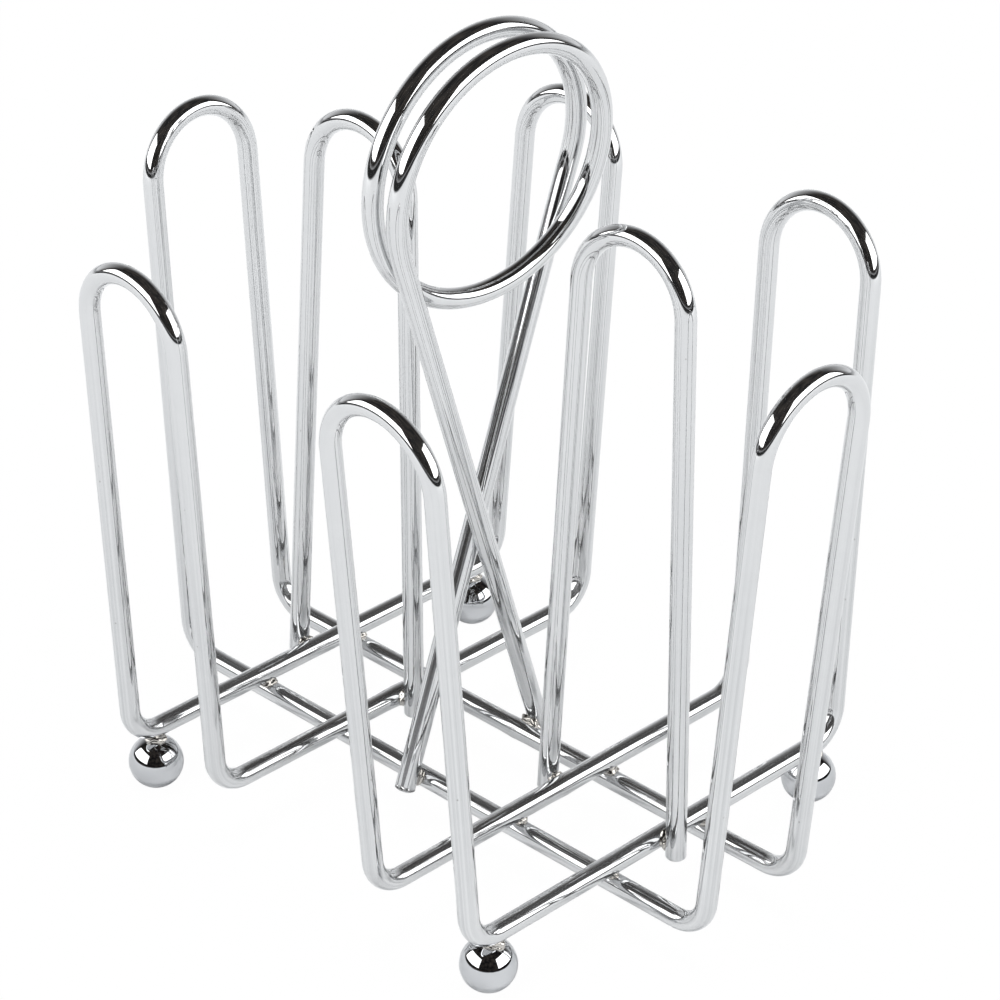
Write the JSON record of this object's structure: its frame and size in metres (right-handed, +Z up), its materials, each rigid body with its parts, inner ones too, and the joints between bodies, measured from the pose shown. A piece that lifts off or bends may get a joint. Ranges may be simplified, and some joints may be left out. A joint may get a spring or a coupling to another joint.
{
  "type": "napkin dispenser",
  "caption": "Free-standing napkin and packet rack of round chromed wire, with tall hoop sides, ball feet and a ring handle.",
  "frame": {"origin": "middle of the bounding box, on the plane that the four feet stand on", "axes": "+Z up, +X along the cross frame, +Y along the side frames"},
  "size_m": [0.1926, 0.1462, 0.1935],
  "materials": {
    "chrome_wire": "bright plated round wire with faint lengthwise drawing lines and small pits",
    "ball_chrome": "bright plated ball, mirror-like with a faintly mottled plating",
    "weld_metal": "small uneven weld flash, plated over, darker and rougher than the wire"
  },
  "bodies": {
    "root": {"left_side_frame": "chrome_wire", "right_side_frame": "chrome_wire", "cross_frame": "chrome_wire", "ring_handle": "chrome_wire", "left_divider": "chrome_wire", "right_divider": "chrome_wire", "foot_front_left": "ball_chrome", "foot_front_right": "ball_chrome", "foot_rear_left": "ball_chrome", "foot_rear_right": "ball_chrome", "weld_left_outer_on_front": "weld_metal", "weld_left_outer_on_rear": "weld_metal", "weld_left_inner_on_front": "weld_metal", "weld_left_inner_on_rear": "weld_metal", "weld_right_outer_on_front": "weld_metal", "weld_right_outer_on_rear": "weld_metal", "weld_right_inner_on_front": "weld_metal", "weld_right_inner_on_rear": "weld_metal", "weld_divider_left_outer": "weld_metal", "weld_divider_left_inner": "weld_metal", "weld_divider_right_outer": "weld_metal", "weld_divider_right_inner": "weld_metal", "weld_handle_front": "weld_metal", "weld_handle_rear": "weld_metal", "weld_foot_front_left": "weld_metal", "weld_foot_front_right": "weld_metal", "weld_foot_rear_left": "weld_metal", "weld_foot_rear_right": "weld_metal"}
  },
  "joints": []
}
